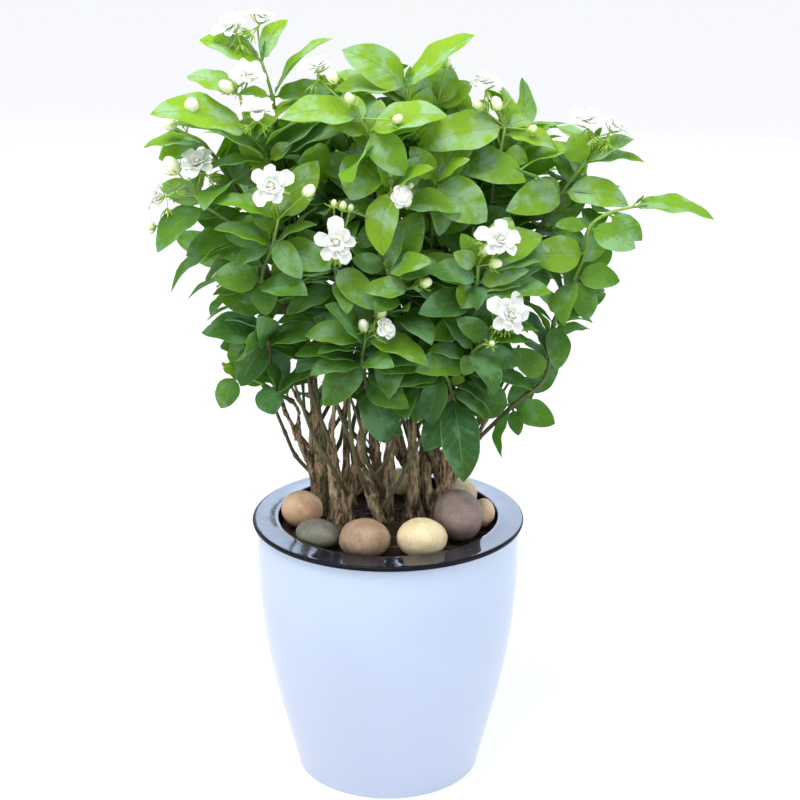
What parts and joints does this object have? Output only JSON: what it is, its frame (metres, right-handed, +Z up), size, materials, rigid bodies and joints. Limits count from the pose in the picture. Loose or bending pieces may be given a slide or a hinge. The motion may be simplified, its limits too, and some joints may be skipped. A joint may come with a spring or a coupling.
{
  "type": "potted jasmine",
  "caption": "Bushy flowering jasmine in a tall white pot with a black inner pot, soil and rounded stones, standing on a flat foot.",
  "frame": {"origin": "centre of the pot's flat underside", "axes": "+Z up, -Y towards the picture's camera"},
  "size_m": [0.5056, 0.3552, 0.7391],
  "materials": {
    "pot_white": "glossy white, slightly bluish",
    "pot_black": "glossy near black",
    "soil": "matt crumbly potting mix",
    "stone_tan": "matt water-worn stone",
    "stone_grey": "matt water-worn stone",
    "stone_brown": "matt water-worn stone",
    "stone_cream": "matt water-worn stone",
    "stone_purple": "matt water-worn stone",
    "stone_orange": "matt water-worn stone",
    "bark": "rough peeling bark",
    "foliage": "satin leaf",
    "petals": "soft matt petal"
  },
  "bodies": {
    "root": {"bloom_behind": "petals", "bloom_double": "petals", "bloom_far_left": "petals", "bloom_far_right": "petals", "bloom_far_right_tip": "petals", "bloom_left": "petals", "bloom_left_side": "petals", "bloom_open": "petals", "bloom_right_front": "petals", "bloom_right_low": "petals", "bloom_right_side": "petals", "bloom_top_left": "petals", "bloom_top_left_tip": "petals", "bloom_upper_left": "petals", "inner_pot": "pot_black", "pot": "pot_white", "soil": "soil", "spray_back_left": "foliage", "spray_back_middle": "foliage", "spray_back_middle_left": "foliage", "spray_back_middle_right": "foliage", "spray_back_right": "foliage", "spray_centre": "foliage", "spray_centre_left": "foliage", "spray_far_left": "foliage", "spray_far_right": "foliage", "spray_left": "foliage", "spray_low_left": "foliage", "spray_low_middle": "foliage", "spray_low_right": "foliage", "spray_middle": "foliage", "spray_middle_right": "foliage", "spray_right_front": "foliage", "spray_right_front_low": "foliage", "spray_right_high": "foliage", "spray_slender_left": "foliage", "spray_slender_right": "foliage", "spray_top_left": "foliage", "spray_top_middle": "foliage", "spray_top_right": "foliage", "spray_upper_left": "foliage", "spray_upper_right": "foliage", "stone_brown_back": "stone_brown", "stone_brown_front": "stone_brown", "stone_cream_back": "stone_cream", "stone_cream_front": "stone_cream", "stone_cream_right": "stone_cream", "stone_grey_back": "stone_grey", "stone_grey_left": "stone_grey", "stone_orange_right": "stone_orange", "stone_purple_back": "stone_purple", "stone_purple_right": "stone_purple", "stone_tan_back": "stone_tan", "stone_tan_left": "stone_tan", "trunk_back": "bark", "trunk_front_left": "bark", "trunk_left": "bark", "trunk_middle": "bark", "trunk_right": "bark", "trunk_right_middle": "bark"}
  },
  "joints": []
}
